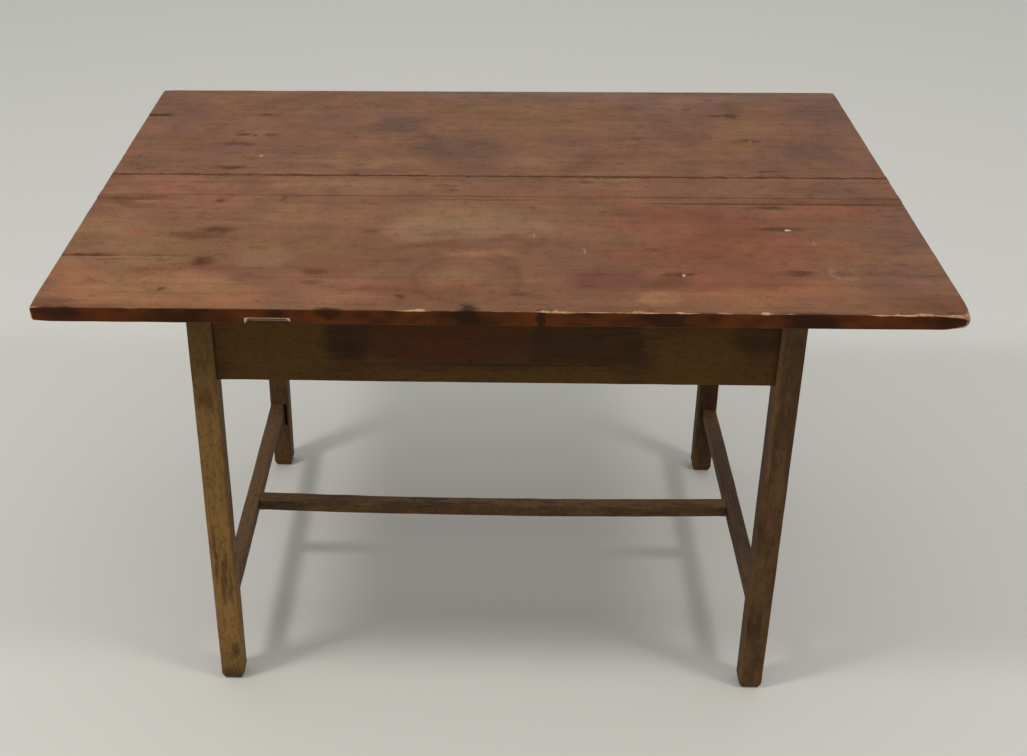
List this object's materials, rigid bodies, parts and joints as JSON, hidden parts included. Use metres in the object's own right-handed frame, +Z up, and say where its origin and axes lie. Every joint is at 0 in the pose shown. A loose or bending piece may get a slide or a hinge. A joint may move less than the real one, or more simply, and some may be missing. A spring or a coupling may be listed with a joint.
{
  "type": "farmhouse table",
  "caption": "Old painted softwood work table: a nailed plank top on square legs with deep pegged aprons and a low H stretcher.",
  "frame": {"origin": "on the floor, under the middle of the top", "axes": "+X along the top to the right, +Y from the front edge to the rear edge, +Z up"},
  "size_m": [1.24, 0.905, 0.735],
  "materials": {
    "painted_top": "worn red-brown paint, satin",
    "apron_paint": "dark brown old paint, satin",
    "leg_paint": "brown old paint, worn at the arrises",
    "stretcher_wood": "bare and scuffed, dull",
    "peg_wood": "dark, dull",
    "nail_iron": "rusted dark, dull"
  },
  "bodies": {
    "root": {"top_board_front": "painted_top", "top_board_middle": "painted_top", "top_board_rear": "painted_top", "leg_front_left": "leg_paint", "leg_front_right": "leg_paint", "leg_rear_left": "leg_paint", "leg_rear_right": "leg_paint", "apron_front": "apron_paint", "apron_rear": "apron_paint", "apron_left": "apron_paint", "apron_right": "apron_paint", "stretcher_left": "stretcher_wood", "stretcher_right": "stretcher_wood", "stretcher_centre": "stretcher_wood", "nail_left_1": "nail_iron", "nail_left_2": "nail_iron", "nail_left_3": "nail_iron", "nail_left_4": "nail_iron", "nail_left_5": "nail_iron", "nail_left_6": "nail_iron", "nail_left_7": "nail_iron", "nail_right_1": "nail_iron", "nail_right_2": "nail_iron", "nail_right_3": "nail_iron", "nail_right_4": "nail_iron", "nail_right_5": "nail_iron", "nail_right_6": "nail_iron", "nail_right_7": "nail_iron", "peg_front_left_apron_front_upper": "peg_wood", "peg_front_left_apron_front_lower": "peg_wood", "peg_front_left_apron_left_upper": "peg_wood", "peg_front_left_apron_left_lower": "peg_wood", "peg_front_left_stretcher_left": "peg_wood", "peg_front_right_apron_front_upper": "peg_wood", "peg_front_right_apron_front_lower": "peg_wood", "peg_front_right_apron_right_upper": "peg_wood", "peg_front_right_apron_right_lower": "peg_wood", "peg_front_right_stretcher_right": "peg_wood", "peg_rear_left_apron_rear_upper": "peg_wood", "peg_rear_left_apron_rear_lower": "peg_wood", "peg_rear_left_apron_left_upper": "peg_wood", "peg_rear_left_apron_left_lower": "peg_wood", "peg_rear_left_stretcher_left": "peg_wood", "peg_rear_right_apron_rear_upper": "peg_wood", "peg_rear_right_apron_rear_lower": "peg_wood", "peg_rear_right_apron_right_upper": "peg_wood", "peg_rear_right_apron_right_lower": "peg_wood", "peg_rear_right_stretcher_right": "peg_wood", "peg_stretcher_centre_left": "peg_wood", "peg_stretcher_centre_right": "peg_wood"}
  },
  "joints": []
}
